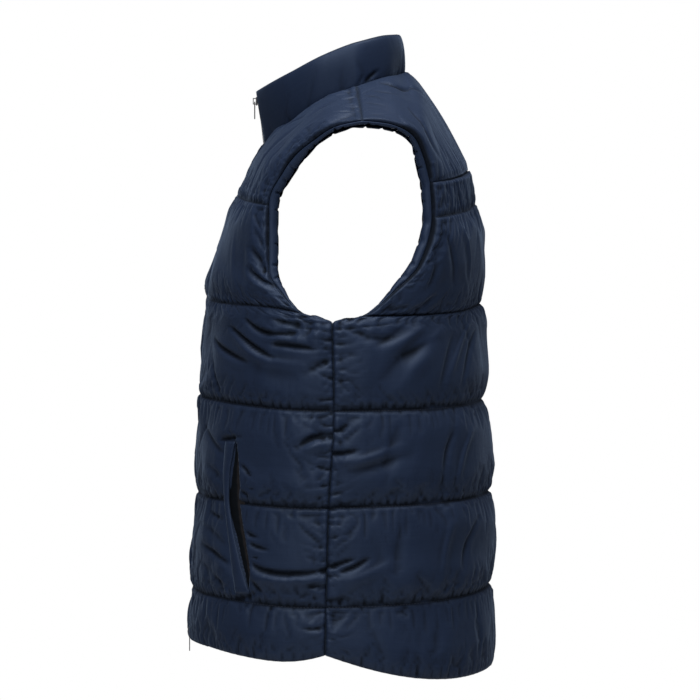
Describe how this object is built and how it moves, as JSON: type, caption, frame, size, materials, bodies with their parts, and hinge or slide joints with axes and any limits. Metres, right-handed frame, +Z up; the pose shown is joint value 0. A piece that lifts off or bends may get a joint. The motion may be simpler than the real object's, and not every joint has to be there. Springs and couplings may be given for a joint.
{
  "type": "padded body warmer",
  "caption": "Sleeveless quilted body warmer with a stand collar, front zip and slanted welt pockets, filled out as if worn.",
  "frame": {"origin": "between the middles of the two shoulder seams, where the wearer holds the garment up", "axes": "+X to the wearer's left, +Y to the back, +Z up"},
  "size_m": [0.4224, 0.3455, 0.7189],
  "materials": {
    "navy_shell": "dense navy polyester weave with a soft satin sheen",
    "navy_facing": "ruched navy polyester strip",
    "pocket_facing": "matt brown-black strip",
    "zip_tape": "navy zip tape with a coil chain",
    "gunmetal": "dark silver die-cast metal",
    "pull_black": "black enamelled tab"
  },
  "bodies": {
    "vest": {"front_left": "navy_shell", "front_right": "navy_shell", "back": "navy_shell", "back_yoke": "navy_shell", "collar": "navy_shell", "armhole_facing_left": "navy_facing", "armhole_facing_right": "navy_facing", "pocket_welt_left": "navy_shell", "pocket_welt_right": "navy_shell", "pocket_facing_left": "pocket_facing", "pocket_facing_right": "pocket_facing", "zip_left": "zip_tape", "zip_right": "zip_tape", "slider_top": "gunmetal", "slider_bottom": "gunmetal"},
    "top_pull": {"pull_top": "pull_black"},
    "bottom_pull": {"pull_bottom": "gunmetal"}
  },
  "joints": [
    {"name": "top_pull_hinge", "type": "hinge", "parent": "vest", "child": "top_pull", "pos_m": [0, -0.1179, 0.0031], "axis": [-1, 0, 0], "range_deg": [0, 120]},
    {"name": "bottom_pull_hinge", "type": "hinge", "parent": "vest", "child": "bottom_pull", "pos_m": [0, -0.19082, -0.5891], "axis": [-1, 0, 0], "range_deg": [0, 120]}
  ]
}
